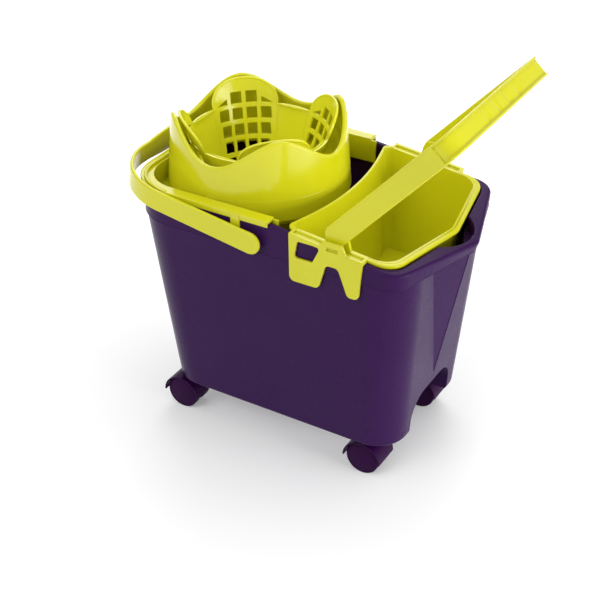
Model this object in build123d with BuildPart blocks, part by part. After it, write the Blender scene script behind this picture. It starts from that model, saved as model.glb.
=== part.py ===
from build123d import *
import os
from math import cos, hypot, radians, sin, tan

os.makedirs("parts", exist_ok=True)

# Wheeled mop bucket: a tub on four castors, a carry handle, a wringer and a caddy with its own handle.
# Millimetres, +Z up, floor at Z 0. The spout points to +X and the front is -Y.
# X values below count from the middle of the castor pattern, and mid_x centres the whole object.
mid_x = -20.5

# Gaps between pieces
seat_gap = 0.3  # a seated piece above what it rests on
run_gap = 0.05  # radial gap of a pin that turns in its bore
side_gap = 0.6  # a swinging arm beside the ear or wall that it turns against
clear = 60.0  # how far a cut runs past the object

# Tub wall
rim_z = 332.0
foot_left = -150.0
foot_right = 171.0
foot_half = 101.0
foot_left_radius = 45.0
foot_right_radius = 40.0
foot_edge = 4.0
wall_left = -175.0
wall_right = 189.0
wall_half = 126.0
wall_left_radius = 57.0
wall_right_radius = 52.0
wall_t = 3.0
floor_t = 3.5

# Rim band and its lip, level over the wringer and sloping down towards the spout
band_h = 39.5
band_step = 1.0
lip_w = 8.0
lip_t = 5.0
lip_round = 3.5
mouth_round = 1.5
slope_x = 15.0
slope_angle = 7.15
slope_bend = 60.0

# Prow, nose and spout at the pouring end
shoulder_back = 8.8  # the prow's shoulder, short of the end wall
prow_foot_reach = 27.0  # the prow's tip beyond the end wall, at the foot of the band
prow_top_reach = 41.6  # the same at rim height
shoulder_radius = 27.0
tip_radius = 17.0
nose_half = 60.0
nose_reach = 21.5
nose_z = 96.0
nose_foot_half = 3.0
nose_sink = 3.0  # root of the nose inside the end wall's face
mouth_reach = 6.4  # tip of the opening beyond the end wall
mouth_back = 15.6  # shoulder of the opening, short of the end wall
mouth_radius = 25.0
spout_radius = 48.5
spout_reach = 20.0  # tip of the spout pocket beyond the end wall

# Arch recess in the foot under the spout
arch_half = 52.0
arch_h = 48.0
arch_depth = 32.0
arch_radius = 30.0

# Castors
castor_gap = 3.5  # foot of the tub above the castors' hoods
wheel_d = 43.0
wheel_w = 11.5
wheel_gap = 0.5
wheel_dome = 1.5
wheel_edge = 1.0
web_t = 10.0
hood_gap = 1.7
hood_t = 1.8
hood_over = 2.0  # hood beyond the wheels' faces
hub_radius = 8.0
castor_trail = 10.0
castor_in_left = 15.0  # axle inside the foot's left end
castor_in_right = 42.0  # axle inside the foot's right end
castor_in_side = 23.5  # castor's middle plane inside the foot's long side
axle_d = 5.0
axle_in_wheel = 10.0
journal_d = 6.0
journal_len = 20.0
shank_d = 8.0
shank_len = 26.0
collar_d = 12.0
collar_h = 2.0
socket_wall = 4.0

# Carry handle
carry_x = 1.0
carry_drop = 25.0  # pivot below the rim
carry_gap = 5.5  # arm outside the rim band
carry_t = 4.5
carry_end_radius = 13.5
carry_bar_half = 12.5
carry_grip_half = 16.0  # the same in the middle of the crossbar
carry_overhang = 21.0
carry_corner = 74.0
carry_rise = 9.0  # degrees
carry_peg_d = 10.0
carry_peg_in = 3.2  # peg inside the rim band
carry_round = 1.6
swell_inset = 0.3  # faces of the crossbar's swelling inside those of the bar
boss_d = 20.0

# Wringer tray
tray_side = 2.0  # tray edge beyond the tub's long sides
tray_over = 3.0  # tray edge beyond the tub's left end
well_gap = 2.0  # skirt inside the tub's opening
plate_t = 4.0
plate_round = 1.2
edge_drop = 3.3  # edge of the tray below its plate, outside the rim
bead_in_left = 9.0  # bead inside the tray's left edge
bead_in_side = 0.5  # bead inside the tray's long sides
bead_corner = 50.0
bead_w = 3.6
bead_h = 3.7
bead_round = 1.6
bead_full_x = -135.0
bead_end_x = -95.0
pocket_drop = 20.0  # floor of the moat beside the crown, under the rim
tray_floor_drop = 10.0
tray_floor_t = 3.0
skirt_t = 2.5
ledge_w = 9.0  # ring of the tray's floor that carries the basket
skirt_drop = 27.0
skirt_end_x = 28.0
tongue_end_x = 21.0
tab_x = -21.0
tab_w = 11.5
tab_t = 2.5
tab_drop = 12.0
hook_gap = 0.4  # a hook's leg outside the rim band

# Crown of the wringer
crown_gap = 10.0  # crown inside the tub's opening
crown_in_left = 106.0  # crown's axis from the end wall
crown_t = 6.0
crown_lean = 6.0
crown_round = 2.4
lobe_h = 73.5
dip_h = 38.5
lobe_angle = 45.0  # a lobe from the dip beside it
wave_steps = 6

# Wringer basket
basket_gap = 2.5
basket_t = 2.5
basket_foot_radius = 47.0
basket_foot_drop = 82.0
petal_below_lobe = 3.0
panel_h = 40.0
panel_angle = 15.0
basket_flange_t = 2.5
window_pitch = 12.6  # degrees between columns
window_angle = 9.2
window_columns = 4
row_pitch = 18.9
row_h = 13.7
row_count = 6
top_row_h = 47.5  # middle of the top row above the rim
drain_d = 8.0
drain_circle = 28.0
drain_count = 8

# Caddy
caddy_gap = 1.5  # caddy wall inside the tub's opening
caddy_front_gap = 12.5  # caddy rim beside the wringer's crown
caddy_bow = 14.0
caddy_bow_radius = 370.0
caddy_tip_gap = 1.4
caddy_t = 2.5
caddy_lip = 2.0
caddy_rim_t = 4.0
caddy_round = 1.2
caddy_draft = 8.0
caddy_end_draft = 20.0
caddy_depth = 140.0
caddy_left_radius = 8.0
caddy_right_radius = 25.0
caddy_tip_radius = 30.0
hook_t = 2.8
ledge_t = 1.3  # caddy's ledge over the tub's rim, behind the hook plate
ledge_wall = 3.0
hook_left_x = 49.0
hook_w = 92.0
hook_foot_w = 38.0
hook_taper = 1.0
hook_drop = 56.0
notch_x = 103.5
notch_w = 15.0
notch_drop = 16.5
leg_x = 130.0
leg_w = 13.0
hook_round = 7.0
notch_round = 6.5
leg_round = 6.0
hole_x = 71.0
hole_w = 26.0
hole_h = 21.5
hole_taper = 6.0
hole_drop = 18.6
hole_lean = 4.0
hole_round = 3.5
slot_w = 14.0
slot_h = 4.5
riser_x = 104.0
riser_w = 33.0
riser_top = 23.0
riser_h = 2.0

# Caddy handle
grip_x = 104.0
grip_z_up = 8.0  # pivot above the level part of the rim
grip_angle = 47.5  # degrees above level
grip_reach = 191.0
grip_t = 5.0
grip_arm_half = 13.2
grip_bar_half = 12.5
grip_corner = 22.0
grip_channel = 2.0
grip_edge = 2.6
grip_peg_d = 8.0
grip_round = 1.8
ear_t = 4.0
ear_radius = 12.0
ear_foot = 17.0
finger_pitch = 26.6
finger_radius = 14.0
finger_depth = 1.0
finger_count = 4

# Places worked out from the sizes above
base_z = wheel_d + hood_gap + hood_t + castor_gap
band_z = rim_z - band_h
band_left = wall_left - band_step
band_half = wall_half + band_step
shoulder_x = wall_right - shoulder_back
open_left = band_left + lip_w
open_half = band_half - lip_w
nose_slope = (nose_reach + nose_sink) / nose_half
mouth_x = wall_right + mouth_reach
spout_x = wall_right + spout_reach - spout_radius
axle_z = wheel_d / 2
hood_radius = wheel_d / 2 + hood_gap + hood_t
castor_half = web_t / 2 + wheel_gap + wheel_w + hood_over
castor_y = foot_half - castor_in_side
axle_x = {"left": foot_left + castor_in_left, "right": foot_right - castor_in_right}
carry_z = rim_z - carry_drop
carry_in = band_half + carry_gap
carry_out = carry_in + carry_t
carry_reach = (carry_x - band_left + carry_overhang) / cos(radians(carry_rise))
plate_z = rim_z + seat_gap
tray_half = band_half + tray_side
tray_left = band_left - tray_over
well_left = open_left + well_gap
well_half = open_half - well_gap
well_corner = wall_left_radius - lip_w - well_gap
tray_floor_z = rim_z - tray_floor_drop
pocket_z = rim_z - pocket_drop
crown_x = wall_left + crown_in_left
crown_radius = open_half - crown_gap
well_reach = hypot(well_left + well_corner - crown_x, well_half - well_corner) + well_corner
crown_top_radius = crown_radius - crown_lean
crown_foot_z = pocket_z - tray_floor_t
crown_foot_radius = crown_radius + crown_lean * (rim_z - crown_foot_z) / lobe_h
lobe_z = rim_z + lobe_h
dip_z = rim_z + dip_h
basket_top_z = lobe_z - petal_below_lobe
basket_top_radius = crown_top_radius - crown_t - basket_gap
basket_foot_z = rim_z - basket_foot_drop
well_radius = min(crown_x - well_left - skirt_t, crown_radius - crown_t)
panel_z = rim_z + panel_h
caddy_half = open_half - caddy_gap
caddy_left = crown_x + crown_radius + caddy_front_gap + caddy_lip
caddy_tip = mouth_x - caddy_tip_gap - caddy_lip
caddy_shoulder = wall_right - mouth_back - caddy_tip_gap - caddy_lip
caddy_floor_z = rim_z - caddy_depth
hook_in = band_half + hook_gap
hook_out = hook_in + hook_t
ear_out = caddy_half + caddy_lip / 2
grip_in = ear_out + side_gap
grip_out = grip_in + grip_t
grip_z = rim_z + grip_z_up
tall = lobe_z + clear
wide = band_half + clear
far_left = band_left - clear
far_right = wall_right + prow_top_reach + clear

floor = Plane(origin=(mid_x, 0, 0))
crown_floor = Plane(origin=(mid_x + crown_x, 0, 0))


# An upright plane across the object at a given Y, seen from the front
def front_plane(y):
    return Plane(origin=(mid_x, y, 0), x_dir=(1, 0, 0), z_dir=(0, -1, 0))


# Height of the rim's top at a given X
def rim_at(x):
    return rim_z - max(0.0, x - slope_x) * tan(radians(slope_angle))


# Side view of everything above the rim, or above a line at the given height over it
def above_rim(lift):
    with BuildLine() as outline:
        FilletPolyline(
            (far_left, rim_z + lift),
            (slope_x, rim_z + lift),
            (far_right, rim_at(far_right) + lift),
            (far_right, tall),
            (far_left, tall),
            radius=[0, slope_bend, 0, 0, 0],
            close=True,
        )
    make_face(outline.edges())


# Takes away everything above the rim, or above a line at the given height over it
def trim_above_rim(lift):
    with BuildSketch(front_plane(0)) as region:
        above_rim(lift)
    extrude(region.sketch, amount=wide, both=True, mode=Mode.SUBTRACT)


# Tells a face of a rim, level or sloping, from the walls and from the floor
def faces_up(face):
    return face.normal_at().Z > cos(radians(slope_angle * 2)) and face.center().Z > band_z + lip_t


# Tells a point on the edge of the tub's opening from one on the outer edge of its rim
def on_mouth(point):
    left = mid_x + open_left - mouth_round
    right = mid_x + wall_right + spout_reach + mouth_round
    return abs(point.Y) < open_half + mouth_round and left < point.X < right


# Plan of the tub's tapered wall at one height
def wall_plan(left, right, half, left_radius, right_radius):
    with BuildLine() as outline:
        FilletPolyline(
            (left, -half),
            (right, -half),
            (right, half),
            (left, half),
            radius=[left_radius, right_radius, right_radius, left_radius],
            close=True,
        )
    make_face(outline.edges())


# Plan of the rim, with a pointed end at the spout
def prow_plan(left, shoulder, tip, half, left_radius, right_radius, point_radius):
    with BuildLine() as outline:
        FilletPolyline(
            (left, -half),
            (shoulder, -half),
            (tip, 0),
            (shoulder, half),
            (left, half),
            radius=[left_radius, right_radius, point_radius, right_radius, left_radius],
            close=True,
        )
    make_face(outline.edges())


# Plan of the nose wedge on the end wall at one height, the same shape at every size
def nose_plan(root, half):
    with BuildLine() as outline:
        Polyline((root, -half), (root + half * nose_slope, 0), (root, half), close=True)
    make_face(outline.edges())


# X of the tub's outer end wall at one height
def end_wall_at(z):
    return foot_right + (wall_right - foot_right) * (z - base_z) / (band_z - base_z)


# Arch outline in the end view, standing on the foot
def arch_plan(grow):
    top = base_z + arch_h + grow
    with BuildLine() as outline:
        FilletPolyline(
            (-arch_half - grow, base_z - grow),
            (arch_half + grow, base_z - grow),
            (arch_half + grow, top),
            (-arch_half - grow, top),
            radius=[0, 0, arch_radius + grow, arch_radius + grow],
            close=True,
        )
    make_face(outline.edges())


arch_plane = Plane(origin=(mid_x + foot_right - arch_depth, 0, 0), x_dir=(0, 1, 0), z_dir=(1, 0, 0))
arch_back_plane = arch_plane.offset(-wall_t)
stem_places = [
    (axle_x[end] + castor_trail, y) for end in ("left", "right") for y in (-castor_y, castor_y)
]

# Hollow of the tub, with the sockets, the arch and the pivot bosses standing in it
with BuildPart() as tub_hollow:
    with BuildSketch(floor.offset(base_z + floor_t)):
        wall_plan(
            foot_left + wall_t,
            foot_right - wall_t,
            foot_half - wall_t,
            foot_left_radius - wall_t,
            foot_right_radius - wall_t,
        )
    with BuildSketch(floor.offset(rim_z)):
        wall_plan(
            wall_left + wall_t,
            wall_right - wall_t,
            wall_half - wall_t,
            wall_left_radius - wall_t,
            wall_right_radius - wall_t,
        )
    loft()
    with BuildSketch(floor.offset(nose_z)):
        nose_plan(end_wall_at(nose_z) - nose_sink * 2, nose_foot_half)
    with BuildSketch(floor.offset(rim_z)):
        nose_plan(wall_right - nose_sink * 2, nose_half)
    loft()
    trim_above_rim(-lip_t)
    with BuildSketch(floor.offset(band_z)):
        prow_plan(
            open_left,
            wall_right - mouth_back,
            mouth_x,
            open_half,
            wall_left_radius - lip_w,
            mouth_radius,
            tip_radius,
        )
        with Locations((spout_x, 0)):
            Circle(spout_radius)
    extrude(amount=tall - band_z)
    with BuildSketch(arch_back_plane):
        arch_plan(wall_t)
    extrude(amount=arch_depth * 2, mode=Mode.SUBTRACT)
    with BuildSketch(floor.offset(base_z)):
        with Locations(*stem_places):
            Circle(shank_d / 2 + socket_wall)
    extrude(amount=shank_len + socket_wall, mode=Mode.SUBTRACT)
    with BuildSketch(front_plane(-open_half)):
        with Locations((carry_x, carry_z)):
            Circle(boss_d / 2)
    extrude(amount=lip_w, mode=Mode.SUBTRACT)
    with BuildSketch(front_plane(open_half)):
        with Locations((carry_x, carry_z)):
            Circle(boss_d / 2)
    extrude(amount=-lip_w, mode=Mode.SUBTRACT)

with BuildPart() as bucket_body:
    # Tapered wall up to the foot of the rim band
    with BuildSketch(floor.offset(base_z)):
        wall_plan(foot_left, foot_right, foot_half, foot_left_radius, foot_right_radius)
    with BuildSketch(floor.offset(band_z)):
        wall_plan(wall_left, wall_right, wall_half, wall_left_radius, wall_right_radius)
    loft()
    fillet(edges().group_by(Axis.Z)[0], foot_edge)
    # Nose wedge under the spout
    with BuildSketch(floor.offset(nose_z)):
        nose_plan(end_wall_at(nose_z) - nose_sink, nose_foot_half)
    with BuildSketch(floor.offset(band_z)):
        nose_plan(wall_right - nose_sink, nose_half)
    loft()
    # Rim band with its prow
    with BuildSketch(floor.offset(band_z)):
        prow_plan(
            band_left,
            shoulder_x,
            wall_right + prow_foot_reach,
            band_half,
            wall_left_radius,
            shoulder_radius,
            tip_radius,
        )
    with BuildSketch(floor.offset(rim_z + band_step)):
        prow_plan(
            band_left,
            shoulder_x,
            wall_right + prow_top_reach,
            band_half,
            wall_left_radius,
            shoulder_radius,
            tip_radius,
        )
    loft()
    trim_above_rim(0)
    rim_edges = faces().filter_by(faces_up).edges()
    fillet([edge for edge in rim_edges if edge.length < band_half * 2 - lip_w], lip_round)
    add(tub_hollow.part, mode=Mode.SUBTRACT)
    rim_edges = faces().filter_by(faces_up).edges()
    fillet([edge for edge in rim_edges if on_mouth(edge.center())], mouth_round)
    # Arch recess, castor sockets and pivot bores
    with BuildSketch(arch_plane):
        arch_plan(0)
    extrude(amount=arch_depth * 2, mode=Mode.SUBTRACT)
    with BuildSketch(floor.offset(base_z)):
        with Locations(*stem_places):
            Circle(shank_d / 2)
    extrude(amount=shank_len, mode=Mode.SUBTRACT)
    with BuildSketch(front_plane(0)):
        with Locations((carry_x, carry_z)):
            Circle(carry_peg_d / 2 + run_gap)
    extrude(amount=wide, both=True, mode=Mode.SUBTRACT)

bucket_body.part.label = "bucket_body"
export_step(bucket_body.part, "parts/bucket_body.step")

# Carry handle: along is the arm's direction at rest, from the pivot to the crossbar
carry_pivot = (mid_x + carry_x, 0, carry_z)
along = (-cos(radians(carry_rise)), 0, sin(radians(carry_rise)))
carry_flat = Plane(origin=carry_pivot, x_dir=along, z_dir=(along[2], 0, -along[0]))
carry_side = Plane(origin=carry_pivot, x_dir=along, z_dir=(0, 1, 0))
carry_end = Plane(
    origin=tuple(p + carry_reach * a for p, a in zip(carry_pivot, along)), x_dir=(0, 1, 0), z_dir=along
)


# Closed plan of a bail: a U that is open towards its pivot, between its outer and inner outlines
def bail_plan(reach, out, thick, corner):
    with BuildLine() as outline:
        FilletPolyline(
            (0, -out), (reach, -out), (reach, out), (0, out), radius=[0, corner, corner, 0], close=True
        )
    make_face(outline.edges())
    inner = out - thick
    with BuildLine() as outline:
        FilletPolyline(
            (0, -inner),
            (reach - thick, -inner),
            (reach - thick, inner),
            (0, inner),
            radius=[0, corner - thick, corner - thick, 0],
            close=True,
        )
    make_face(outline.edges(), mode=Mode.SUBTRACT)


# Side view of a bail's arm: round at the pivot and tapering to the bar
def arm_plan(reach, end_radius, bar_half):
    Circle(end_radius)
    with BuildLine() as outline:
        Polyline(
            (0, -end_radius), (reach, -bar_half), (reach, bar_half), (0, end_radius), close=True
        )
    make_face(outline.edges())


# Swelling in the middle of the crossbar, its ends inside the bar
with BuildPart() as carry_swell:
    with BuildSketch(carry_end.offset(-swell_inset)):
        swell = carry_out - carry_corner
        low = carry_bar_half - carry_round
        with BuildLine():
            ThreePointArc((-swell, low), (0, carry_grip_half), (swell, low))
            ThreePointArc((-swell, -low), (0, -carry_grip_half), (swell, -low))
            Line((swell, low), (swell, -low))
            Line((-swell, low), (-swell, -low))
        make_face()
    extrude(amount=swell_inset * 2 - carry_t)
    fillet(edges().filter_by(GeomType.CIRCLE), carry_round)

with BuildPart() as carry_handle:
    with BuildSketch(carry_flat):
        bail_plan(carry_reach, carry_out, carry_t, carry_corner)
    extrude(amount=carry_end_radius, both=True)
    for y in (-carry_out, carry_in):
        with BuildSketch(carry_side.offset(y)):
            Circle(carry_end_radius)
        extrude(amount=carry_t)
    with BuildSketch(carry_side):
        arm_plan(carry_reach, carry_end_radius, carry_bar_half)
    extrude(amount=wide, both=True, mode=Mode.INTERSECT)
    fillet(edges().filter_by(lambda edge: edge.length > carry_t * 2), carry_round)
    add(carry_swell.part)
    for y, turn in ((-carry_in, 1), (carry_in, -1)):
        with BuildSketch(carry_side.offset(y)):
            Circle(carry_peg_d / 2)
        extrude(amount=turn * (carry_gap + carry_peg_in))

carry_handle.part.label = "carry_handle"
export_step(carry_handle.part, "parts/carry_handle.step")


# Plan of the wringer's tray or its well: the left half follows the rim, the right half is round
def tray_plan(left, half, corner, round_radius, mode=Mode.ADD):
    with BuildLine() as outline:
        FilletPolyline(
            (crown_x, -half),
            (crown_x, half),
            (left, half),
            (left, -half),
            radius=[0, 0, corner, corner],
            close=True,
        )
    make_face(outline.edges(), mode=mode)
    with BuildLine() as outline:
        CenterArc((crown_x, 0), round_radius, -90, 180)
        Line((crown_x, round_radius), (crown_x, -round_radius))
    make_face(outline.edges(), mode=mode)


# Outer plans of the tray, of the bead on it and of the well under it, each shrunk by an inset
def tray_edge(inset, round_radius, mode=Mode.ADD):
    tray_plan(tray_left + inset, tray_half - inset, wall_left_radius - inset, round_radius, mode)


def bead_plan(inset, round_radius, mode=Mode.ADD):
    left = tray_left + bead_in_left + inset
    tray_plan(left, tray_half - bead_in_side - inset, bead_corner - inset, round_radius, mode)


def well_plan(inset, round_radius, mode=Mode.ADD):
    tray_plan(well_left + inset, well_half - inset, well_corner - inset, round_radius, mode)


# Two strips along the rim in plan, one at the front and one at the rear
def rim_strips(left, right, inner_y, outer_y):
    with Locations(*[((left + right) / 2, sign * (inner_y + outer_y) / 2) for sign in (-1, 1)]):
        Rectangle(right - left, outer_y - inner_y)


# Plan between the skirt and the crown's wall, from one X to another
def pocket_plan(left, right):
    well_plan(skirt_t / 2, crown_gap)
    with Locations((crown_x, 0)):
        Circle(crown_radius - crown_t / 2, mode=Mode.SUBTRACT)
    with Locations(((left + right) / 2, 0)):
        Rectangle(right - left, tray_half * 2, mode=Mode.INTERSECT)


# Points of the crown's wave, as seen along X or Y, from one lobe to the next
def wave_points(radius, low, high):
    middle = (low + high) / 2
    swing = (high - low) / 2
    angles = [lobe_angle * i / wave_steps for i in range(-wave_steps, wave_steps + 1)]
    return [
        (radius * sin(radians(a)), middle - swing * cos(radians(180 * a / lobe_angle))) for a in angles
    ]


# The two upright planes through the crown's axis, facing +X and +Y
cross_planes = [
    Plane(origin=(mid_x + crown_x, 0, 0), x_dir=(0, 1, 0), z_dir=(1, 0, 0)),
    Plane(origin=(mid_x + crown_x, 0, 0), x_dir=(-1, 0, 0), z_dir=(0, 1, 0)),
]
crown_profile_plane = Plane(origin=(mid_x + crown_x, 0, 0), x_dir=(1, 0, 0), z_dir=(0, -1, 0))
crown_axis = Axis((mid_x + crown_x, 0, 0), (0, 0, 1))


# Distance of a point from the crown's axis
def from_crown_axis(point):
    return hypot(point.X - mid_x - crown_x, point.Y)


# Tells a point on the outer edge of the tray's plate from one on its edges beside the crown and the caddy
def on_tray_edge(point):
    at_left = point.X < mid_x + well_left or from_crown_axis(point) > well_reach
    return at_left or abs(point.Y) > well_half


# Plate of the tray on the tub's rim, with a tongue on each side of the caddy and a low edge outside the rim
with BuildPart() as tray_plate:
    with BuildSketch(floor.offset(plate_z)):
        tray_edge(0, crown_gap)
        rim_strips(crown_x, tongue_end_x, well_half - skirt_t, tray_half)
        well_plan(skirt_t, crown_gap, Mode.SUBTRACT)
        with Locations((crown_x, 0)):
            Circle(crown_radius - crown_t / 2, mode=Mode.SUBTRACT)
    extrude(amount=plate_t)
    upper_edges = faces().sort_by(Axis.Z)[-1].edges()
    fillet([edge for edge in upper_edges if on_tray_edge(edge.center())], plate_round)
    with BuildSketch(floor.offset(plate_z)):
        tray_edge(0, crown_gap)
        tray_edge(tray_side - hook_gap, crown_radius, Mode.SUBTRACT)
        rim_strips(crown_x, tongue_end_x, hook_in, tray_half)
    extrude(amount=-edge_drop)

# Raised bead along the plate's edge, from the crown's wall to a slope at the front and at the rear
with BuildPart() as tray_bead:
    with BuildSketch(floor.offset(plate_z + plate_t / 2)):
        bead_plan(0, crown_gap)
        bead_plan(bead_w, crown_radius, Mode.SUBTRACT)
    extrude(amount=plate_t / 2 + bead_h)
    fillet(faces().sort_by(Axis.Z)[-1].edges(), bead_round)
    with BuildSketch(floor.offset(plate_z)):
        with Locations((crown_x, 0)):
            Circle(crown_radius - crown_t / 2)
    extrude(amount=plate_t + bead_h * 2, mode=Mode.SUBTRACT)
    with BuildSketch(front_plane(0)):
        bead_z = plate_z + plate_t + bead_h
        with BuildLine():
            Polyline(
                (bead_full_x, bead_z),
                (bead_end_x, plate_z),
                (crown_x + bead_w, plate_z),
                (crown_x + bead_w, bead_z + bead_h),
                (bead_full_x, bead_z + bead_h),
                close=True,
            )
        make_face()
    extrude(amount=wide, both=True, mode=Mode.SUBTRACT)

with BuildPart() as wringer_housing:
    # Crown wall, leaning to the inside
    with BuildSketch(crown_profile_plane):
        with BuildLine():
            Polyline(
                (crown_foot_radius, crown_foot_z),
                (crown_top_radius, lobe_z),
                (crown_top_radius - crown_t, lobe_z),
                (crown_foot_radius - crown_t, crown_foot_z),
                close=True,
            )
        make_face()
    revolve(axis=crown_axis)
    for plane in cross_planes:
        with BuildSketch(plane):
            points = wave_points(crown_top_radius, dip_z, lobe_z)
            with BuildLine():
                Spline(*points)
                Polyline(points[-1], (points[-1][0], tall), (points[0][0], tall), points[0])
            make_face()
        extrude(amount=wide, both=True, mode=Mode.SUBTRACT)
    fillet(edges().filter_by(lambda edge: edge.center().Z > dip_z - crown_round), crown_round)
    with BuildSketch(floor.offset(plate_z)):
        with Locations((crown_x, 0)):
            Rectangle(wide * 2, wide * 2)
        well_plan(skirt_t / 2, crown_foot_radius, Mode.SUBTRACT)
    extrude(amount=-wide, mode=Mode.SUBTRACT)
    # Plate and bead, then the hook tabs
    tab_out = hook_in + tab_t
    add(tray_plate.part)
    add(tray_bead.part)
    with BuildSketch(floor.offset(plate_z)):
        rim_strips(tab_x - tab_w / 2, tab_x + tab_w / 2, well_half, tab_out)
    extrude(amount=plate_t)
    # Moat between the crown and the tray's edge, with a floor and an end wall on each side
    with BuildSketch(floor.offset(pocket_z)):
        pocket_plan(tray_left, crown_x)
    extrude(amount=-tray_floor_t)
    with BuildSketch(floor.offset(pocket_z)):
        pocket_plan(crown_x - skirt_t, crown_x)
    extrude(amount=pocket_drop + seat_gap + plate_t / 2)
    # Ledge inside the crown, skirt inside the tub and legs of the hook tabs
    with BuildSketch(floor.offset(tray_floor_z)):
        well_plan(skirt_t / 2, crown_radius - skirt_t / 2)
        with Locations((crown_x, 0)):
            Circle(crown_radius - crown_t / 2, mode=Mode.INTERSECT)
            Circle(well_radius - ledge_w, mode=Mode.SUBTRACT)
    extrude(amount=-tray_floor_t)
    with BuildSketch(floor.offset(rim_z - skirt_drop)):
        well_plan(0, crown_radius)
        well_plan(skirt_t, crown_radius - skirt_t, Mode.SUBTRACT)
        rim_strips(crown_x, skirt_end_x, well_half - skirt_t, well_half)
    extrude(amount=skirt_drop + seat_gap + plate_t / 2)
    with BuildSketch(floor.offset(rim_z - tab_drop)):
        rim_strips(tab_x - tab_w / 2, tab_x + tab_w / 2, hook_in, tab_out)
    extrude(amount=tab_drop + seat_gap + plate_t / 2)

wringer_housing.part.label = "wringer_housing"
export_step(wringer_housing.part, "parts/wringer_housing.step")


# Outer radius of the basket's cone at one height
def basket_radius(z):
    part = (z - basket_foot_z) / (basket_top_z - basket_foot_z)
    return basket_foot_radius + (basket_top_radius - basket_foot_radius) * part


with BuildPart() as wringer_basket:
    # Cone with a floor, and the flange that rests on the tray's floor inside the crown
    with BuildSketch(crown_profile_plane):
        with BuildLine():
            Polyline(
                (0, basket_foot_z),
                (basket_foot_radius, basket_foot_z),
                (basket_top_radius, basket_top_z),
                (basket_top_radius - basket_t, basket_top_z),
                (basket_foot_radius - basket_t, basket_foot_z + basket_t),
                (0, basket_foot_z + basket_t),
                close=True,
            )
        make_face()
        flange_in = basket_radius(tray_floor_z) - basket_t / 2
        flange_out = well_radius - side_gap
        with BuildLine():
            Polyline(
                (flange_in, tray_floor_z),
                (flange_out, tray_floor_z),
                (flange_out, tray_floor_z + basket_flange_t),
                (flange_in, tray_floor_z + basket_flange_t),
                close=True,
            )
        make_face()
    revolve(axis=crown_axis)
    # Straight tops of the panels between the arched petals
    petal_radius = basket_top_radius - basket_t / 2
    panel_half = petal_radius * sin(radians(panel_angle))
    arch_mid = petal_radius * sin(radians(lobe_angle))
    for plane in cross_planes:
        with BuildSketch(plane):
            with BuildLine():
                EllipticalCenterArc(
                    (arch_mid, panel_z),
                    arch_mid - panel_half,
                    basket_top_z - panel_z,
                    start_angle=90,
                    arc_size=90,
                )
                EllipticalCenterArc(
                    (-arch_mid, panel_z),
                    arch_mid - panel_half,
                    basket_top_z - panel_z,
                    start_angle=0,
                    arc_size=90,
                )
                Line((-panel_half, panel_z), (panel_half, panel_z))
                Polyline(
                    (arch_mid, basket_top_z),
                    (arch_mid, tall),
                    (-arch_mid, tall),
                    (-arch_mid, basket_top_z),
                )
            make_face()
        extrude(amount=wide, both=True, mode=Mode.SUBTRACT)
    # Windows of the four petals, in columns and rows, with cut corners on the top row's outer ones
    for turn in (lobe_angle, 180 - lobe_angle, 180 + lobe_angle, 360 - lobe_angle):
        facing = (cos(radians(turn)), sin(radians(turn)), 0)
        sideways = (-facing[1], facing[0], 0)
        with BuildSketch(Plane(origin=(mid_x + crown_x, 0, 0), x_dir=sideways, z_dir=facing)):
            for row in range(row_count):
                z = rim_z + top_row_h - row * row_pitch
                radius = basket_radius(z)
                for column in range(window_columns):
                    offset_angle = (column - (window_columns - 1) / 2) * window_pitch
                    x = radius * sin(radians(offset_angle))
                    w = radius * sin(radians(window_angle)) * cos(radians(offset_angle))
                    outer = column in (0, window_columns - 1)
                    if row == 0 and outer:
                        lean = 1 if offset_angle > 0 else -1
                        with BuildLine():
                            Polyline(
                                (x - w / 2 * lean, z - row_h / 2),
                                (x + w / 2 * lean, z - row_h / 2),
                                (x - w / 2 * lean, z),
                                close=True,
                            )
                        make_face()
                    else:
                        with Locations((x, z)):
                            Rectangle(w, row_h)
        extrude(amount=wide, mode=Mode.SUBTRACT)
    with BuildSketch(crown_floor.offset(basket_foot_z)):
        with PolarLocations(drain_circle, drain_count):
            Circle(drain_d / 2)
    extrude(amount=basket_t, mode=Mode.SUBTRACT)

wringer_basket.part.label = "wringer_basket"
export_step(wringer_basket.part, "parts/wringer_basket.step")


# Plan of the caddy: a bowed left wall, straight long walls and a blunt point at the spout
def caddy_plan(inset, end_inset, mode=Mode.ADD):
    half = caddy_half - inset
    left = caddy_left - caddy_bow + inset
    shoulder = caddy_shoulder - end_inset
    bow_room = hypot(half, caddy_bow * 2) - caddy_left_radius
    bow_radius = min(caddy_bow_radius, bow_room * half / (caddy_bow * 2))
    with BuildLine() as outline:
        FilletPolyline(
            (left, -half),
            (shoulder, -half),
            (caddy_tip - end_inset, 0),
            (shoulder, half),
            (left, half),
            (left + caddy_bow * 2, 0),
            radius=[
                caddy_left_radius,
                caddy_right_radius,
                caddy_tip_radius,
                caddy_right_radius,
                caddy_left_radius,
                bow_radius,
            ],
            close=True,
        )
    make_face(outline.edges(), mode=mode)


# Rim of the caddy, a strip that follows the slope of the tub's rim
with BuildPart() as caddy_rim:
    with BuildSketch(floor.offset(band_z)):
        caddy_plan(-caddy_lip, -caddy_lip)
        caddy_plan(caddy_t, caddy_t, Mode.SUBTRACT)
    extrude(amount=tall - band_z)
    with BuildSketch(front_plane(0)):
        above_rim(seat_gap)
    extrude(amount=wide, both=True, mode=Mode.INTERSECT)
    trim_above_rim(caddy_rim_t)

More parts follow.
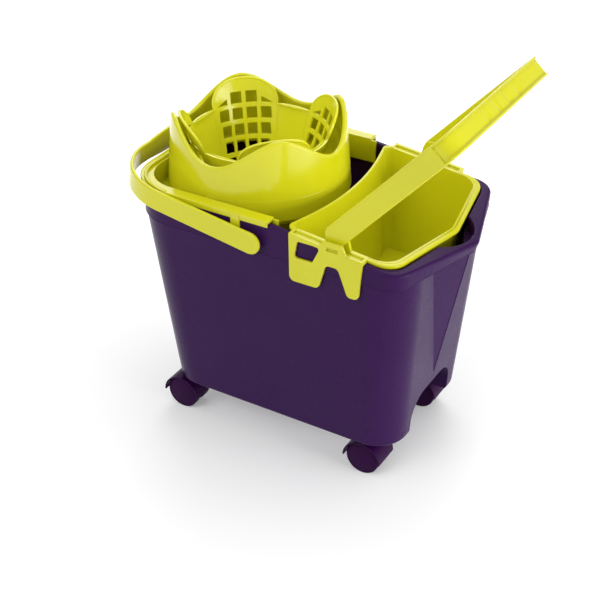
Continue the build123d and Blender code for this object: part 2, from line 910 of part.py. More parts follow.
with BuildPart() as caddy:
    with BuildSketch(floor.offset(caddy_floor_z)):
        caddy_plan(caddy_draft, caddy_end_draft)
    with BuildSketch(floor.offset(rim_z + caddy_rim_t)):
        caddy_plan(0, 0)
    loft()
    with BuildSketch(floor.offset(caddy_floor_z + caddy_t)):
        caddy_plan(caddy_draft + caddy_t, caddy_end_draft + caddy_t)
    with BuildSketch(floor.offset(rim_z + caddy_rim_t)):
        caddy_plan(caddy_t, caddy_t)
    loft(mode=Mode.SUBTRACT)
    trim_above_rim(caddy_rim_t)
    add(caddy_rim.part)
    rim_face = faces().filter_by(faces_up).sort_by(SortBy.AREA)[-1]
    fillet(rim_face.outer_wire().edges(), caddy_round)
    # Bridge over the tub's rim with its ledge, hook plate outside it and ear for the handle, at the front
    hook_right_x = hook_left_x + hook_w
    with BuildSketch(front_plane(-(caddy_half - caddy_t))):
        with BuildLine():
            Polyline(
                (hook_left_x, rim_at(hook_left_x) + seat_gap),
                (hook_right_x, rim_at(hook_right_x) + seat_gap),
                (hook_right_x, rim_at(hook_right_x) + caddy_rim_t),
                (hook_left_x, rim_at(hook_left_x) + caddy_rim_t),
                close=True,
            )
        make_face()
    extrude(amount=hook_out - caddy_half + caddy_t)
    ledge_left = hook_left_x + ledge_wall
    ledge_right = hook_right_x - ledge_wall
    with BuildSketch(front_plane(-(caddy_half - caddy_t * 2))):
        with BuildLine():
            Polyline(
                (ledge_left, rim_at(ledge_left) + seat_gap + ledge_t),
                (ledge_right, rim_at(ledge_right) + seat_gap + ledge_t),
                (ledge_right, tall),
                (ledge_left, tall),
                close=True,
            )
        make_face()
    extrude(amount=hook_in - caddy_half + caddy_t * 2 - ledge_t, mode=Mode.SUBTRACT)
    foot_z = rim_z - hook_drop - caddy_rim_t
    notch_z = rim_at(notch_x) - notch_drop
    with BuildSketch(front_plane(-hook_in)):
        with BuildLine():
            FilletPolyline(
                (hook_left_x, rim_at(hook_left_x) + caddy_rim_t),
                (hook_left_x + hook_taper, foot_z),
                (hook_left_x + hook_foot_w, foot_z),
                (notch_x - notch_w / 2, notch_z),
                (notch_x + notch_w / 2, notch_z),
                (leg_x - leg_w / 2, foot_z),
                (leg_x + leg_w / 2, foot_z),
                (hook_right_x, rim_at(hook_right_x) + caddy_rim_t),
                (riser_x + riser_w / 2, rim_at(riser_x + riser_w / 2) + caddy_rim_t),
                (riser_x + riser_top / 2, rim_z + riser_h),
                (riser_x - riser_top / 2, rim_z + riser_h),
                (riser_x - riser_w / 2, rim_at(riser_x - riser_w / 2) + caddy_rim_t),
                radius=[0] + [hook_round] * 2 + [notch_round] * 2 + [leg_round] * 2 + [0] * 5,
                close=True,
            )
        make_face()
        hole_z = rim_z - hole_drop
        with BuildLine():
            FilletPolyline(
                (hole_x - hole_w / 2 + hole_lean / 2, hole_z + hole_h / 2),
                (hole_x - hole_w / 2 - hole_lean / 2, hole_z - hole_h / 2),
                (hole_x + hole_w / 2 - hole_lean / 2 - hole_taper / 2, hole_z - hole_h / 2),
                (hole_x + hole_w / 2 + hole_lean / 2 + hole_taper / 2, hole_z + hole_h / 2),
                radius=hole_round,
                close=True,
            )
        make_face(mode=Mode.SUBTRACT)
    extrude(amount=hook_t)
    slot_z = rim_at(notch_x) + caddy_rim_t
    with BuildSketch(front_plane(-hook_in)):
        with Locations((notch_x, slot_z)):
            Rectangle(slot_w, slot_h)
    extrude(amount=hook_t, mode=Mode.SUBTRACT)
    with BuildSketch(front_plane(-(ear_out - ear_t))):
        with Locations((grip_x, grip_z)):
            Circle(ear_radius)
        with BuildLine():
            Polyline(
                (grip_x - ear_foot, rim_at(grip_x - ear_foot) + seat_gap),
                (grip_x + ear_foot, rim_at(grip_x + ear_foot) + seat_gap),
                (grip_x + ear_radius, grip_z),
                (grip_x - ear_radius, grip_z),
                close=True,
            )
        make_face()
        with Locations((grip_x, grip_z)):
            Circle(grip_peg_d / 2 + run_gap, mode=Mode.SUBTRACT)
    extrude(amount=ear_t)
    mirror(about=Plane.XZ)

caddy.part.label = "caddy"
export_step(caddy.part, "parts/caddy.step")

# Caddy handle: reach is the arm's direction at rest, up and towards the spout
grip_pivot = (mid_x + grip_x, 0, grip_z)
reach = (cos(radians(grip_angle)), 0, sin(radians(grip_angle)))
grip_flat = Plane(origin=grip_pivot, x_dir=reach, z_dir=(-reach[2], 0, reach[0]))
grip_side = Plane(origin=grip_pivot, x_dir=reach, z_dir=(0, -1, 0))

with BuildPart() as caddy_handle:
    with BuildSketch(grip_flat):
        bail_plan(grip_reach, grip_out, grip_t, grip_corner)
    extrude(amount=grip_arm_half, both=True)
    for y in (-grip_out, grip_in):
        with BuildSketch(grip_side.offset(y)):
            Circle(grip_arm_half)
        extrude(amount=grip_t)
    with BuildSketch(grip_side):
        arm_plan(grip_reach, grip_arm_half, grip_bar_half)
    extrude(amount=wide, both=True, mode=Mode.INTERSECT)
    fillet(edges().filter_by(lambda edge: edge.length > grip_t * 2), grip_round)
    # Channel in the grip's outer face, open round both corners, with a dent for each finger
    with BuildSketch(grip_flat):
        bail_plan(grip_reach, grip_out, grip_channel, grip_corner)
        with Locations(((grip_reach - grip_corner) / 2, 0)):
            Rectangle(grip_reach - grip_corner, wide * 2, mode=Mode.SUBTRACT)
    extrude(amount=grip_bar_half - grip_edge, both=True, mode=Mode.SUBTRACT)
    with BuildSketch(grip_flat):
        for finger in range(finger_count):
            y = (finger - (finger_count - 1) / 2) * finger_pitch
            with Locations((grip_reach - grip_channel + finger_radius - finger_depth, y)):
                Circle(finger_radius)
    extrude(amount=grip_bar_half - grip_edge, both=True, mode=Mode.SUBTRACT)
    for y, turn in ((-grip_in, 1), (grip_in, -1)):
        with BuildSketch(grip_side.offset(y)):
            Circle(grip_peg_d / 2)
        extrude(amount=turn * (side_gap + ear_t))

caddy_handle.part.label = "caddy_handle"
export_step(caddy_handle.part, "parts/caddy_handle.step")

# Castors: two wheels beside a hooded web, on an axle that trails behind the swivel stem
for end in ("left", "right"):
    for side, y in (("front", -castor_y), ("rear", castor_y)):
        place = f"{side}_{end}"
        x = mid_x + axle_x[end]
        stem_x = x + castor_trail
        upright = Plane(origin=(x, y, axle_z), x_dir=(1, 0, 0), z_dir=(0, -1, 0))
        collar_z = base_z - collar_h

        with BuildPart() as castor_stem:
            with BuildSketch(Plane(origin=(stem_x, y, collar_z))):
                Circle(journal_d / 2)
            extrude(amount=-journal_len)
            with BuildSketch(Plane(origin=(stem_x, y, collar_z))):
                Circle(collar_d / 2)
            extrude(amount=collar_h)
            with BuildSketch(Plane(origin=(stem_x, y, base_z))):
                Circle(shank_d / 2)
            extrude(amount=shank_len)

        castor_stem.part.label = f"castor_stem_{place}"
        export_step(castor_stem.part, f"parts/castor_stem_{place}.step")

        with BuildPart() as castor_hood:
            with BuildSketch(upright):
                with BuildLine():
                    CenterArc((0, 0), hood_radius, 0, 180)
                    Line((-hood_radius, 0), (hood_radius, 0))
                make_face()
            extrude(amount=castor_half, both=True)
            with BuildSketch(Plane(origin=(stem_x, y, axle_z))):
                Circle(collar_d / 2)
            extrude(amount=collar_z - seat_gap - axle_z)
            for turn in (-1, 1):
                with BuildSketch(upright.offset(turn * web_t / 2)):
                    Circle(wheel_d / 2 + hood_gap)
                extrude(amount=turn * castor_half, mode=Mode.SUBTRACT)
            with BuildSketch(upright):
                Circle(hub_radius)
            extrude(amount=web_t / 2, both=True)
            with BuildSketch(upright):
                Circle(axle_d / 2)
            extrude(amount=web_t, both=True, mode=Mode.SUBTRACT)
            with BuildSketch(Plane(origin=(stem_x, y, collar_z))):
                Circle(journal_d / 2 + run_gap)
            extrude(amount=-(journal_len + seat_gap), mode=Mode.SUBTRACT)

        castor_hood.part.label = f"castor_hood_{place}"
        export_step(castor_hood.part, f"parts/castor_hood_{place}.step")

        with BuildPart() as castor_axle:
            with BuildSketch(upright):
                Circle(axle_d / 2)
            extrude(amount=web_t / 2 + wheel_gap + axle_in_wheel, both=True)

        castor_axle.part.label = f"castor_axle_{place}"
        export_step(castor_axle.part, f"parts/castor_axle_{place}.step")

        for wheel, turn in (("a", -1), ("b", 1)):
            inner = web_t / 2 + wheel_gap
            bore = axle_d / 2 + run_gap
            bore_end = inner + axle_in_wheel + seat_gap
            outer = inner + wheel_w
            radius = wheel_d / 2
            with BuildPart() as castor_wheel:
                with BuildSketch(Plane(origin=(x, y, axle_z), x_dir=(0, 0, 1), z_dir=(-turn, 0, 0))):
                    with BuildLine():
                        Polyline(
                            (0, outer),
                            (0, bore_end),
                            (bore, bore_end),
                            (bore, inner),
                            (radius - wheel_edge, inner),
                            (radius, inner + wheel_edge),
                            (radius, outer - wheel_dome - wheel_edge),
                            (radius - wheel_edge, outer - wheel_dome),
                        )
                        sphere = ((radius - wheel_edge) ** 2 + wheel_dome**2) / (2 * wheel_dome)
                        RadiusArc((radius - wheel_edge, outer - wheel_dome), (0, outer), -sphere)
                    make_face()
                revolve(axis=Axis((x, y, axle_z), (0, turn, 0)))

            castor_wheel.part.label = f"castor_wheel_{place}_{wheel}"
            export_step(castor_wheel.part, f"parts/castor_wheel_{place}_{wheel}.step")
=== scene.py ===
from math import asin, atan2, cos, pi, radians, sin, sqrt, tan

import bpy
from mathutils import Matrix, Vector


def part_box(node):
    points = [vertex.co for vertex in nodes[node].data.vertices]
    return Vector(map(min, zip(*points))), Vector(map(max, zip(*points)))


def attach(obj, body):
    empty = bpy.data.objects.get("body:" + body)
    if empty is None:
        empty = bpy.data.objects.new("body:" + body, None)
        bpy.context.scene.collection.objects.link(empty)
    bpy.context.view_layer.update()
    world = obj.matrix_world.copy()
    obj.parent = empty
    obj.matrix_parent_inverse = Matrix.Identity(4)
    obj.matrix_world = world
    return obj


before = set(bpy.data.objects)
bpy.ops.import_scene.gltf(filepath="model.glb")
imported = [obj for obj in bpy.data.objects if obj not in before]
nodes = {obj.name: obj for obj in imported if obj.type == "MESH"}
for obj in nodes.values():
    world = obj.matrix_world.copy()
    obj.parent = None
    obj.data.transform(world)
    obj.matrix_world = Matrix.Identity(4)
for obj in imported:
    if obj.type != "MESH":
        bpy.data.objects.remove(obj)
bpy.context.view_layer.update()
scene = bpy.context.scene
print("frame loaded:", len(nodes), "nodes")


# small helpers for node trees

def newMaterial(name):
    material = bpy.data.materials.new(name)
    material.use_nodes = True
    tree = material.node_tree
    return material, tree, tree.nodes["Principled BSDF"]


def addNode(tree, kind, **settings):
    node = tree.nodes.new(kind)
    for key, value in settings.items():
        if key in node.inputs:
            node.inputs[key].default_value = value
        else:
            setattr(node, key, value)
    return node


def link(tree, source, target):
    tree.links.new(source, target)


# grain is the noise's detail and roughness
def addNoise(tree, place, scale, grain):
    detail, roughness = grain
    node = addNode(tree, "ShaderNodeTexNoise", Scale=scale, Detail=detail, Roughness=roughness)
    link(tree, place, node.inputs["Vector"])
    return node.outputs["Fac"]


def addRange(tree, source, fromRange, toRange, **settings):
    node = addNode(tree, "ShaderNodeMapRange", **settings)
    for side, (low, high) in (("From", fromRange), ("To", toRange)):
        node.inputs[side + " Min"].default_value = low
        node.inputs[side + " Max"].default_value = high
    link(tree, source, node.inputs["Value"])
    return node.outputs["Result"]


# one moulded plastic, from large flow marks down to the fine spark-eroded skin of the mould
def mouldedPlastic(name, look):
    material, tree, shader = newMaterial(name)
    place = addNode(tree, "ShaderNodeTexCoord").outputs["Object"]

    flow = addNoise(tree, place, look["flowScale"], look["flowGrain"])
    tone = addNode(tree, "ShaderNodeValToRGB")
    colours = (look["deepColour"], look["colour"])
    for stop, position, colour in zip(tone.color_ramp.elements, look["noiseSpread"], colours):
        stop.position = position
        stop.color = (*colour, 1)
    link(tree, flow, tone.inputs["Fac"])
    link(tree, tone.outputs["Color"], shader.inputs["Base Color"])

    smear = addNoise(tree, place, look["smearScale"], look["smearGrain"])
    gloss = addRange(tree, smear, look["noiseSpread"], look["rough"])
    link(tree, gloss, shader.inputs["Roughness"])

    skin = addNoise(tree, place, look["skinScale"], look["skinGrain"])
    bump = addNode(tree, "ShaderNodeBump", Strength=look["skinStrength"], Distance=look["skinDepth"])
    soft = addNode(tree, "ShaderNodeBevel", Radius=look["edgeRound"], samples=look["edgeSamples"])
    link(tree, skin, bump.inputs["Height"])
    link(tree, soft.outputs["Normal"], bump.inputs["Normal"])
    link(tree, bump.outputs["Normal"], shader.inputs["Normal"])

    shader.inputs["IOR"].default_value = look["ior"]
    shader.inputs["Specular IOR Level"].default_value = look["specular"]
    shader.inputs["Subsurface Weight"].default_value = look["glow"]
    shader.inputs["Subsurface Radius"].default_value = look["glowReach"]
    shader.inputs["Subsurface Scale"].default_value = look["glowScale"]
    return material


# what the plastics share
plasticLook = {
    "flowGrain": (3.0, 0.55),
    "smearGrain": (6.0, 0.65),
    "skinGrain": (2.0, 0.5),
    "noiseSpread": (0.3, 0.7),
    "edgeSamples": 6,
    "glowScale": 0.004,
}
limeLook = {
    **plasticLook,
    "colour": (0.69, 0.67, 0.012),
    "deepColour": (0.65, 0.63, 0.009),
    "flowScale": 9.0,
    "smearScale": 26.0,
    "rough": (0.10, 0.18),
    "skinScale": 1500.0,
    "skinStrength": 0.05,
    "skinDepth": 0.0004,
    "edgeRound": 0.0014,
    "ior": 1.45,
    "specular": 0.5,
    "glow": 0.1,
    "glowReach": (1.0, 0.8, 0.1),
}
# the basket's colour is the lime plastic painted lighter, painted light that lifts the shade inside the
# basket; its thin wall also lets more light through
basketLookPaintedLighter = {
    **limeLook,
    "colour": (0.80, 0.78, 0.022),
    "deepColour": (0.76, 0.74, 0.018),
    "glow": 0.16,
}
purpleLook = {
    **plasticLook,
    "colour": (0.040, 0.0105, 0.074),
    "deepColour": (0.034, 0.0085, 0.064),
    "flowScale": 6.0,
    "smearScale": 18.0,
    "rough": (0.24, 0.34),
    "skinScale": 1800.0,
    "skinStrength": 0.08,
    "skinDepth": 0.0004,
    "edgeRound": 0.0016,
    "ior": 1.36,
    "specular": 0.12,
    "glow": 0.0,
    "glowReach": (1.0, 0.5, 1.0),
}
castorLook = {
    **purpleLook,
    "colour": (0.030, 0.0026, 0.046),
    "deepColour": (0.025, 0.0019, 0.038),
    "flowScale": 30.0,
    "smearScale": 60.0,
    "rough": (0.30, 0.42),
    "skinStrength": 0.06,
    "skinDepth": 0.0003,
    "edgeRound": 0.0006,
}

limePlastic = mouldedPlastic("limePlastic", limeLook)
# the basket's plastic carries a lighter colour, painted light against the shade inside the basket
basketPlasticPaintedLighter = mouldedPlastic("basketPlasticPaintedLighter", basketLookPaintedLighter)
purplePlastic = mouldedPlastic("purplePlastic", purpleLook)
castorPlastic = mouldedPlastic("castorPlastic", castorLook)

pinLook = {
    "colour": (0.55, 0.56, 0.58),
    "rough": (0.22, 0.4),
    "markScale": 700.0,
    "markGrain": (4.0, 0.6),
    "markStrength": 0.05,
    "markDepth": 0.0002,
}


# drawn steel wire of the stems and axles
def drawnSteel(name, look):
    material, tree, shader = newMaterial(name)
    place = addNode(tree, "ShaderNodeTexCoord").outputs["Object"]
    marks = addNoise(tree, place, look["markScale"], look["markGrain"])
    gloss = addRange(tree, marks, (0.0, 1.0), look["rough"])
    link(tree, gloss, shader.inputs["Roughness"])
    bump = addNode(tree, "ShaderNodeBump", Strength=look["markStrength"], Distance=look["markDepth"])
    link(tree, marks, bump.inputs["Height"])
    link(tree, bump.outputs["Normal"], shader.inputs["Normal"])
    shader.inputs["Base Color"].default_value = (*look["colour"], 1)
    shader.inputs["Metallic"].default_value = 1.0
    return material


pinSteel = drawnSteel("pinSteel", pinLook)

for name, node in nodes.items():
    if name == "bucket_body":
        finish = purplePlastic
    elif name.startswith(("castor_stem", "castor_axle")):
        finish = pinSteel
    elif name.startswith("castor"):
        finish = castorPlastic
    elif name == "wringer_basket":
        finish = basketPlasticPaintedLighter
    else:
        finish = limePlastic
    for slot in node.material_slots:
        slot.material = finish
print("finishes on", len(nodes), "nodes")


# round bars that follow a path: one tree, with its sizes as inputs

def makeTubeTree():
    tree = bpy.data.node_groups.new("tubeAlongPath", "GeometryNodeTree")
    face = tree.interface
    face.new_socket("Geometry", in_out="INPUT", socket_type="NodeSocketGeometry")
    face.new_socket("Radius", in_out="INPUT", socket_type="NodeSocketFloat")
    face.new_socket("Sides", in_out="INPUT", socket_type="NodeSocketInt")
    face.new_socket("Finish", in_out="INPUT", socket_type="NodeSocketMaterial")
    face.new_socket("Geometry", in_out="OUTPUT", socket_type="NodeSocketGeometry")
    start = tree.nodes.new("NodeGroupInput")
    end = tree.nodes.new("NodeGroupOutput")
    ring = tree.nodes.new("GeometryNodeCurvePrimitiveCircle")
    sweep = tree.nodes.new("GeometryNodeCurveToMesh")
    sweep.inputs["Fill Caps"].default_value = True
    smooth = tree.nodes.new("GeometryNodeSetShadeSmooth")
    real = tree.nodes.new("GeometryNodeRealizeInstances")
    paint = tree.nodes.new("GeometryNodeSetMaterial")
    link(tree, start.outputs["Radius"], ring.inputs["Radius"])
    link(tree, start.outputs["Sides"], ring.inputs["Resolution"])
    link(tree, start.outputs["Geometry"], sweep.inputs["Curve"])
    link(tree, ring.outputs["Curve"], sweep.inputs["Profile Curve"])
    link(tree, sweep.outputs["Mesh"], smooth.inputs["Geometry"])
    link(tree, smooth.outputs["Geometry"], real.inputs["Geometry"])
    link(tree, real.outputs["Geometry"], paint.inputs["Geometry"])
    link(tree, start.outputs["Finish"], paint.inputs["Material"])
    link(tree, paint.outputs["Geometry"], end.inputs["Geometry"])
    return tree


tubeTree = makeTubeTree()


# paths is a list of (points in metres, closed or not)
def tubePiece(name, paths, radius, sides, finish):
    curve = bpy.data.curves.new(name + "Path", "CURVE")
    curve.dimensions = "3D"
    for points, closed in paths:
        spline = curve.splines.new("POLY")
        spline.points.add(len(points) - 1)
        for target, point in zip(spline.points, points):
            target.co = (*point, 1)
        spline.use_cyclic_u = closed
    holder = bpy.data.objects.new(name + "Path", curve)
    scene.collection.objects.link(holder)
    modifier = holder.modifiers.new("tube", "NODES")
    modifier.node_group = tubeTree
    values = {"Radius": radius, "Sides": sides, "Finish": finish}
    for socket in tubeTree.interface.items_tree:
        if socket.in_out == "INPUT" and socket.name in values:
            modifier[socket.identifier] = values[socket.name]
    ready = holder.evaluated_get(bpy.context.evaluated_depsgraph_get())
    mesh = bpy.data.meshes.new_from_object(ready)
    holder.modifiers.remove(modifier)
    bpy.data.objects.remove(holder)
    mesh.name = name
    piece = bpy.data.objects.new(name, mesh)
    scene.collection.objects.link(piece)
    return piece


def ridePiece(piece, body):
    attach(piece, body)


# corner points with a radius each, turned into a smooth closed outline
def roundOutline(corners, steps):
    points = []
    count = len(corners)
    for i, (x, y, radius) in enumerate(corners):
        here = Vector((x, y))
        before = (Vector(corners[i - 1][:2]) - here).normalized()
        after = (Vector(corners[(i + 1) % count][:2]) - here).normalized()
        half = before.angle(after) / 2
        reach = radius / tan(half)
        middle = here + (before + after).normalized() * (radius / sin(half))
        first = here + before * reach - middle
        last = here + after * reach - middle
        turn = atan2(first.x * last.y - first.y * last.x, first.dot(last))
        for step in range(steps + 1):
            a = turn * step / steps
            spoke = Vector((first.x * cos(a) - first.y * sin(a), first.x * sin(a) + first.y * cos(a)))
            points.append(middle + spoke)
    return points


# the sizes of the trims are millimetres, and where a midX is given, x is counted from it
perMetre = 1000


def metres(x, y, z):
    return (x / perMetre, y / perMetre, z / perMetre)


basketTrim = {
    "axisX": -89.5,
    "footZ": 250.0, "topZ": 402.5,
    "footRadius": 47.0, "topRadius": 94.5,
    "wall": 2.5,
    "petals": 4, "petalAngle": 45.0, "steps": 26,
    "panelZ": 372.0, "panelAngle": 15.0,
    "beadRadius": 1.7, "beadSides": 12,
    "seamRadius": 0.55, "seamSides": 8, "seamEndZ": 268.0,
}


# radius of the middle of the basket's wall
def basketMid(size, z):
    part = (z - size["footZ"]) / (size["topZ"] - size["footZ"])
    return size["footRadius"] + (size["topRadius"] - size["footRadius"]) * part - size["wall"] / 2


def basketPoint(size, angle, z, lift):
    radius = basketMid(size, z) + lift
    return metres(size["axisX"] + radius * cos(angle), radius * sin(angle), z)


# rolled edge over the arched petals and the straight panels, and the seams between them
def makeBasketTrim(size):
    top, topZ, panelZ = basketMid(size, size["topZ"]), size["topZ"], size["panelZ"]
    panelHalf = top * sin(radians(size["panelAngle"]))
    archMid = top * sin(radians(size["petalAngle"]))
    petals, steps = size["petals"], size["steps"]
    turn = 2 * pi / petals
    side = [panelHalf + (archMid - panelHalf) * (1 - cos(pi / 2 * i / steps)) for i in range(steps + 1)]
    sweep = [-s for s in reversed(side)] + side
    edge = []
    for petal in range(petals):
        for s in sweep[:-1]:
            inward = (archMid - abs(s)) / (archMid - panelHalf)
            z = panelZ + (topZ - panelZ) * sqrt(max(0.0, 1 - inward ** 2))
            angle = asin(s / basketMid(size, z)) + petal * turn
            edge.append(basketPoint(size, angle, z - size["beadRadius"] / 2, 0))
    radius = size["beadRadius"] / perMetre
    bead = tubePiece("basketEdge", [(edge, True)], radius, size["beadSides"], basketPlasticPaintedLighter)
    ridePiece(bead, "wringer")
    inner = -size["wall"] / 2
    seams = []
    for petal in range(petals):
        for sign in (-1, 1):
            angle = petal * turn + sign * radians(size["panelAngle"])
            seams.append(([basketPoint(size, angle, z, inner) for z in (panelZ, size["seamEndZ"])], False))
    radius = size["seamRadius"] / perMetre
    seam = tubePiece("basketSeams", seams, radius, size["seamSides"], basketPlasticPaintedLighter)
    ridePiece(seam, "wringer")


makeBasketTrim(basketTrim)

caddyTrim = {
    "midX": -20.5,
    "leftX": 40.5, "bow": 28.0, "half": 117.5,
    "shoulderX": 170.0, "tipX": 192.0,
    # front left, front shoulder, tip, rear shoulder, rear left, bow
    "radii": (8.0, 25.0, 30.0, 25.0, 8.0, 370.0),
    "rimZ": 332.0, "rimThick": 4.0, "slopeX": 15.0, "slopeAngle": 7.15,
    "ledgeLeftX": 50.0, "ledgeRightX": 140.0,
    "inset": 1.6, "sink": 0.35,
    "beadRadius": 0.8, "beadSides": 10, "cornerSteps": 14,
}


# fine bead on the inner edge of the caddy's rim, left open beside the two ledges
def makeCaddyTrim(size):
    inset, half = size["inset"], size["half"] - size["inset"]
    left, shoulder = size["leftX"] + inset, size["shoulderX"] - inset
    outline = [
        (left, -half), (shoulder, -half), (size["tipX"] - inset, 0),
        (shoulder, half), (left, half), (left + size["bow"], 0),
    ]
    corners = [(x, y, radius) for (x, y), radius in zip(outline, size["radii"])]
    steps = size["cornerSteps"]
    rounded = roundOutline(corners, steps)
    spoutEnd = rounded[steps + 1:4 * (steps + 1)]
    crownEnd = rounded[4 * (steps + 1):] + rounded[:steps + 1]
    ledgeLeft, ledgeRight = size["ledgeLeftX"], size["ledgeRightX"]
    runs = [
        [Vector((ledgeRight, -half)), *spoutEnd, Vector((ledgeRight, half))],
        [Vector((ledgeLeft, half)), *crownEnd, Vector((ledgeLeft, -half))],
    ]
    paths = []
    for run in runs:
        path = []
        for point in run:
            drop = max(0.0, point.x - size["slopeX"]) * tan(radians(size["slopeAngle"]))
            z = size["rimZ"] + size["rimThick"] - drop - size["sink"]
            path.append(metres(size["midX"] + point.x, point.y, z))
        paths.append((path, False))
    radius = size["beadRadius"] / perMetre
    bead = tubePiece("caddyRimBead", paths, radius, size["beadSides"], limePlastic)
    ridePiece(bead, "caddy")


makeCaddyTrim(caddyTrim)

tubTrim = {
    "midX": -20.5,
    "leftX": -176.0, "shoulderX": 180.2, "tipX": 216.0, "half": 127.0,
    # front left, front shoulder, tip, rear shoulder, rear left
    "radii": (57.0, 27.0, 17.0, 27.0, 57.0),
    "bandFootZ": 292.5,
    "beadRadius": 0.7, "beadSink": 0.35, "beadSides": 8, "cornerSteps": 14,
    "ridgeFoot": (175.7, 112.0), "ridgeTop": (210.5, 292.0),
    "ridgeRadius": 1.3, "ridgeSink": 0.8, "ridgeSides": 16,
}


# fine bead at the foot of the rim band, and the rounded ridge of the nose under the spout
def makeTubTrim(size):
    sink, half = size["beadSink"], size["half"] - size["beadSink"]
    left, shoulder = size["leftX"] + sink, size["shoulderX"] - sink
    outline = [
        (left, -half), (shoulder, -half), (size["tipX"] - sink, 0),
        (shoulder, half), (left, half),
    ]
    corners = [(x, y, radius - sink) for (x, y), radius in zip(outline, size["radii"])]
    rounded = roundOutline(corners, size["cornerSteps"])
    path = [metres(size["midX"] + point.x, point.y, size["bandFootZ"]) for point in rounded]
    radius = size["beadRadius"] / perMetre
    bead = tubePiece("rimFootBead", [(path, True)], radius, size["beadSides"], purplePlastic)
    ridePiece(bead, "tub")
    ends = (size["ridgeFoot"], size["ridgeTop"])
    path = [metres(size["midX"] + x - size["ridgeSink"], 0, z) for x, z in ends]
    radius = size["ridgeRadius"] / perMetre
    ridge = tubePiece("noseRidge", [(path, False)], radius, size["ridgeSides"], purplePlastic)
    ridePiece(ridge, "tub")


makeTubTrim(tubTrim)

# ringShare is the ring's radius as a share of the wheel's
wheelTrim = {"ringShare": 0.84, "ringRadius": 0.35, "ringSides": 8, "dome": 1.5, "steps": 48}


# a fine ring in the outer face of every wheel
def makeWheelTrim(size):
    share, steps = size["ringShare"], size["steps"]
    turns = [2 * pi * i / steps for i in range(steps)]
    for node in nodes:
        if not node.startswith("castor_wheel"):
            continue
        low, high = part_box(node)
        middle = [(a + b) / 2 for a, b in zip(low, high)]
        reach = (high[2] - low[2]) / 2 * share
        outward = -1 if node.endswith("_a") else 1
        face = low[1] if outward < 0 else high[1]
        y = face - outward * size["dome"] / perMetre * share ** 2
        path = [(middle[0] + reach * cos(t), y, middle[2] + reach * sin(t)) for t in turns]
        radius = size["ringRadius"] / perMetre
        ring = tubePiece(node + "_ring", [(path, True)], radius, size["ringSides"], castorPlastic)
        ridePiece(ring, node[len("castor_"):])


makeWheelTrim(wheelTrim)
print("trims made")


# camera and studio

cameraView = {
    "place": (0.6657, -1.1875, 1.0376),
    "azimuth": 30.48,
    "elevation": 32.71,
    "lens": 78.16,
    "sensorWidth": 36.0,
    "clipEnd": 50.0,
}


def makeCamera(view):
    data = bpy.data.cameras.new("photoCamera")
    data.lens = view["lens"]
    data.sensor_width = view["sensorWidth"]
    data.clip_end = view["clipEnd"]
    camera = bpy.data.objects.new("photoCamera", data)
    yaw, pitch = radians(view["azimuth"]), radians(view["elevation"])
    ahead = Vector((-sin(yaw) * cos(pitch), cos(yaw) * cos(pitch), -sin(pitch)))
    camera.location = view["place"]
    camera.rotation_euler = ahead.to_track_quat("-Z", "Y").to_euler()
    scene.collection.objects.link(camera)
    scene.camera = camera


makeCamera(cameraView)

studio = {
    "worldLevel": 0.52,
    "softboxes": [
        # name, place, aim, size, watts
        ("topBox", (0.25, 0.35, 1.9), (0, 0, 0.25), (1.6, 1.4), 10.0),
        ("backBox", (-0.77, 1.3, 1.28), (0, 0, 0.3), (1.2, 1.0), 9.0),
        ("rightBox", (1.6, 0.0, 0.35), (0.2, 0, 0.15), (1.0, 0.7), 15.0),
        ("frontBox", (-0.5, -1.8, 1.6), (0, 0, 0.25), (1.5, 1.2), 16.0),
    ],
    "floorHalf": 12.0,
    "floorColour": (0.86, 0.86, 0.86),
    # the floor's glow grows with the distance from the object
    "floorLift": (0.22, 0.75),
    "liftReach": (0.3, 1.3),
}


def makeWorld(setup):
    world = bpy.data.worlds.new("studio")
    scene.world = world
    world.use_nodes = True
    tree = world.node_tree
    tree.nodes.clear()
    out = tree.nodes.new("ShaderNodeOutputWorld")
    dim = addNode(tree, "ShaderNodeBackground", Strength=setup["worldLevel"])
    white = addNode(tree, "ShaderNodeBackground", Strength=1.0)
    for shade in (dim, white):
        shade.inputs["Color"].default_value = (1, 1, 1, 1)
    rays = tree.nodes.new("ShaderNodeLightPath")
    mix = tree.nodes.new("ShaderNodeMixShader")
    link(tree, rays.outputs["Is Camera Ray"], mix.inputs[0])
    link(tree, dim.outputs[0], mix.inputs[1])
    link(tree, white.outputs[0], mix.inputs[2])
    link(tree, mix.outputs[0], out.inputs[0])


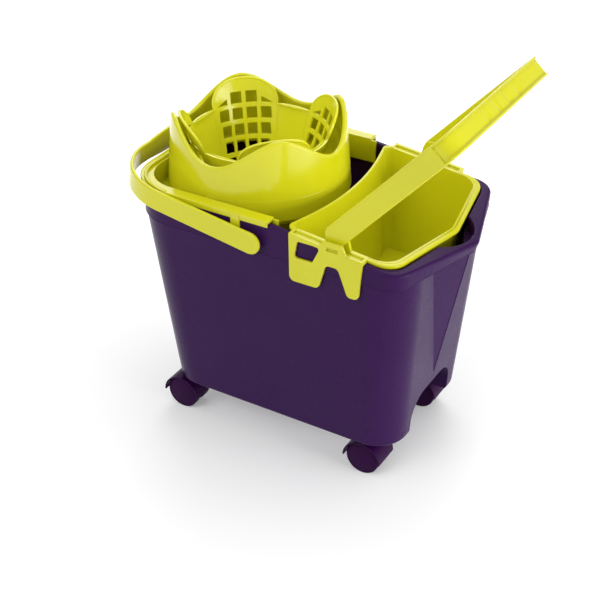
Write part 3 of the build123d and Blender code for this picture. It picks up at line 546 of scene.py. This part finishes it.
def makeSoftboxes(setup):
    for name, place, aim, size, watts in setup["softboxes"]:
        data = bpy.data.lights.new(name, "AREA")
        data.shape = "RECTANGLE"
        data.size, data.size_y = size
        data.energy = watts
        lamp = bpy.data.objects.new(name, data)
        lamp.location = place
        lamp.rotation_euler = (Vector(aim) - Vector(place)).to_track_quat("-Z", "Y").to_euler()
        scene.collection.objects.link(lamp)


# pale paint, with a glow that only the camera and reflections see
def paleFloor(setup):
    material = bpy.data.materials.new("paleFloor")
    material.use_nodes = True
    tree = material.node_tree
    tree.nodes.clear()
    out = tree.nodes.new("ShaderNodeOutputMaterial")
    paint = tree.nodes.new("ShaderNodeBsdfDiffuse")
    paint.inputs["Color"].default_value = (*setup["floorColour"], 1)
    coords = tree.nodes.new("ShaderNodeTexCoord")
    away = addNode(tree, "ShaderNodeVectorMath", operation="LENGTH")
    link(tree, coords.outputs["Object"], away.inputs[0])
    reach, lift = setup["liftReach"], setup["floorLift"]
    grow = addRange(tree, away.outputs["Value"], reach, lift, interpolation_type="SMOOTHSTEP")
    rays = tree.nodes.new("ShaderNodeLightPath")
    shown = addNode(tree, "ShaderNodeMath", operation="MAXIMUM")
    link(tree, rays.outputs["Is Camera Ray"], shown.inputs[0])
    link(tree, rays.outputs["Is Glossy Ray"], shown.inputs[1])
    level = addNode(tree, "ShaderNodeMath", operation="MULTIPLY")
    link(tree, shown.outputs[0], level.inputs[0])
    link(tree, grow, level.inputs[1])
    glow = tree.nodes.new("ShaderNodeEmission")
    total = tree.nodes.new("ShaderNodeAddShader")
    link(tree, level.outputs[0], glow.inputs["Strength"])
    link(tree, paint.outputs[0], total.inputs[0])
    link(tree, glow.outputs[0], total.inputs[1])
    link(tree, total.outputs[0], out.inputs[0])
    return material


def makeFloor(setup):
    mesh = bpy.data.meshes.new("studioFloor")
    half = setup["floorHalf"]
    corners = [(-half, -half, 0), (half, -half, 0), (half, half, 0), (-half, half, 0)]
    mesh.from_pydata(corners, [], [(0, 1, 2, 3)])
    floor = bpy.data.objects.new("studioFloor", mesh)
    scene.collection.objects.link(floor)
    mesh.materials.append(paleFloor(setup))


makeWorld(studio)
makeSoftboxes(studio)
makeFloor(studio)
scene.view_settings.view_transform = "Standard"
print("studio ready")
